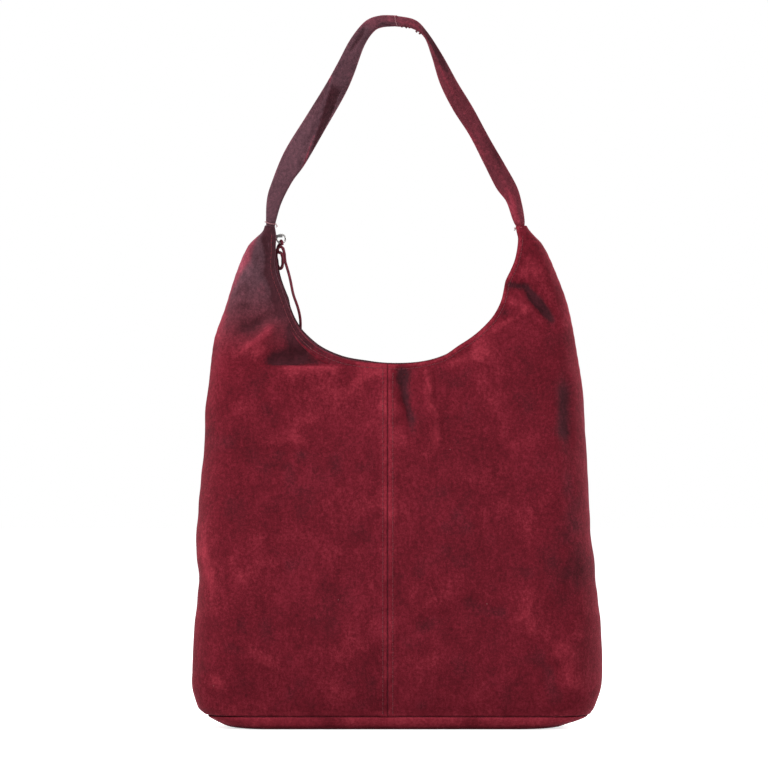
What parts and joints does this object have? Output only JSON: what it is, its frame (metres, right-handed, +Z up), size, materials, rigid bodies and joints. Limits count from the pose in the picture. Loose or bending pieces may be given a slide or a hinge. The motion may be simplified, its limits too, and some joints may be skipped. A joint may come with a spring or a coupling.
{
  "type": "hobo bag",
  "caption": "Soft suede shoulder bag with a scooped zip mouth, pointed shoulders that run into one two-part strap, a flat base and lined pockets.",
  "frame": {"origin": "middle of the base, on the surface that the bag stands on", "axes": "+Z up, front face towards -Y, width along X"},
  "size_m": [0.3806, 0.1206, 0.662],
  "materials": {
    "suede": "napped, matt",
    "lining": "plain woven",
    "zip_tape": "woven tape",
    "zip_coil": "moulded coil",
    "metal": "plated",
    "board": "pressed board"
  },
  "bodies": {
    "bag": {"front_panel_left": "suede", "front_panel_right": "suede", "back_panel_left": "suede", "back_panel_right": "suede", "base_panel": "suede", "lining_front": "lining", "lining_back": "lining", "lining_base": "lining", "zip_pocket": "lining", "slip_pocket": "lining", "zip_tape_front": "zip_tape", "zip_tape_back": "zip_tape", "pocket_tape_upper": "zip_tape", "pocket_tape_lower": "zip_tape", "zip_coil_front": "zip_coil", "zip_coil_back": "zip_coil", "pocket_coil_upper": "zip_coil", "pocket_coil_lower": "zip_coil", "zip_bottom_stop": "metal", "zip_top_stops": "metal", "pocket_stops": "metal", "base_board": "board"},
    "strap": {"strap_left": "suede", "strap_right": "suede"},
    "slider": {"zip_slider": "metal"},
    "pull": {"pull_ring": "metal", "lace_knot": "suede", "lace": "suede"},
    "pocket_slider": {"pocket_slider": "metal"},
    "pocket_pull": {"pocket_pull": "metal"}
  },
  "joints": [
    {"name": "strap_swing", "type": "hinge", "parent": "bag", "child": "strap", "pos_m": [0, 0, 0.472], "axis": [1, 0, 0], "range_deg": [-115, 115]},
    {"name": "zip_travel", "type": "hinge", "parent": "bag", "child": "slider", "pos_m": [0, 0, 0.454], "axis": [0, -1, 0], "range_deg": [0, 180]},
    {"name": "pull_swing", "type": "hinge", "parent": "slider", "child": "pull", "pos_m": [-0.1072, 0, 0.4565], "axis": [0, -1, 0], "range_deg": [0, 155]},
    {"name": "pocket_zip_travel", "type": "slide", "parent": "bag", "child": "pocket_slider", "axis": [1, 0, 0], "range_m": [0, 0.128]},
    {"name": "pocket_pull_swing", "type": "hinge", "parent": "pocket_slider", "child": "pocket_pull", "pos_m": [-0.064, 0.0259, 0.271], "axis": [0, 0, -1], "range_deg": [0, 170]}
  ],
  "couplings": [
    {"joint": "pull_swing", "follows": "zip_travel", "ratio": 0.86}
  ]
}
